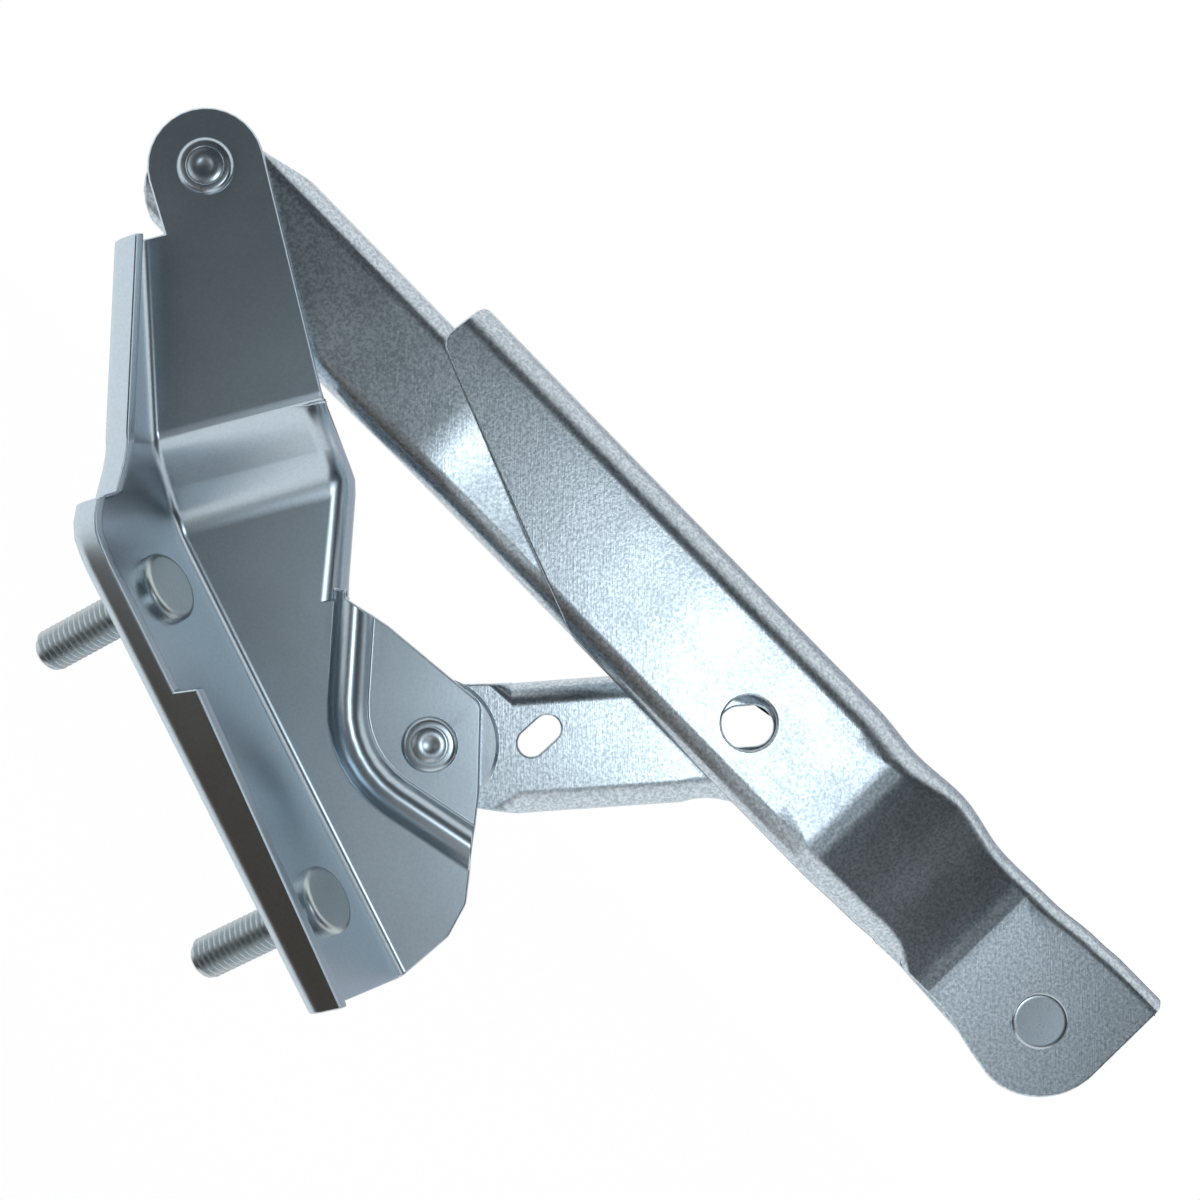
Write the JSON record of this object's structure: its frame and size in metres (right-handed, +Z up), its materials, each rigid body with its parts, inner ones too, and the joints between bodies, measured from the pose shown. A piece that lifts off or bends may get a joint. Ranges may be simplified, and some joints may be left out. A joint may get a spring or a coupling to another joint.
{
  "type": "bonnet hinge",
  "caption": "Pressed-steel four-bar bonnet hinge: a stud-mounted body bracket, a long arm, a cranked link and a flanged bonnet arm, riveted and shown shut.",
  "frame": {"origin": "seat of the front stud, on the outer face of the stud flange", "axes": "+X rearwards along the shut bonnet arm, from the ear pivot to the bonnet pivot; +Y along the pivots, to the inner side; +Z up, out of the bonnet seat"},
  "size_m": [0.2416, 0.0461, 0.1223],
  "materials": {
    "bracket_zinc": "satin zinc plate",
    "arm_zinc": "speckled zinc plate",
    "rivet_zinc": "turned zinc plate",
    "stud_zinc": "rolled thread, zinc plate",
    "bush_bronze": "plain bronze"
  },
  "bodies": {
    "bracket": {"body_bracket": "bracket_zinc", "front_stud": "stud_zinc", "rear_stud": "stud_zinc", "ear_rivet": "rivet_zinc", "ear_spacer": "rivet_zinc", "ear_back_washer": "rivet_zinc", "lobe_rivet": "rivet_zinc", "lobe_pad": "rivet_zinc", "lobe_back_washer": "rivet_zinc"},
    "long_arm": {"long_arm": "arm_zinc", "ear_bush": "bush_bronze", "hidden_bush": "bush_bronze"},
    "short_link": {"short_link": "arm_zinc", "lobe_bush": "bush_bronze"},
    "bonnet_arm": {"bonnet_arm": "arm_zinc", "hidden_pivot": "rivet_zinc", "hidden_spacer": "rivet_zinc", "hidden_back_washer": "rivet_zinc", "bonnet_rivet": "rivet_zinc", "bonnet_sleeve": "bush_bronze", "bonnet_spacer": "rivet_zinc", "bonnet_back_washer": "rivet_zinc"}
  },
  "joints": [
    {"name": "ear_pivot", "type": "hinge", "parent": "bracket", "child": "long_arm", "pos_m": [-0.04864, -0.00028, 0.06072], "axis": [0, -1, 0], "range_deg": [0, 29]},
    {"name": "hidden_pivot", "type": "hinge", "parent": "long_arm", "child": "bonnet_arm", "pos_m": [0.11736, -0.00028, 0.06472], "axis": [0, -1, 0], "range_deg": [-68, 0]},
    {"name": "lobe_pivot", "type": "hinge", "parent": "bracket", "child": "short_link", "pos_m": [0.05386, -0.00028, 0.01602], "axis": [0, -1, 0], "range_deg": [0, 28]}
  ],
  "couplings": [
    {"joint": "hidden_pivot", "follows": "ear_pivot", "ratio": -2.33},
    {"joint": "lobe_pivot", "follows": "ear_pivot", "ratio": 0.94}
  ]
}
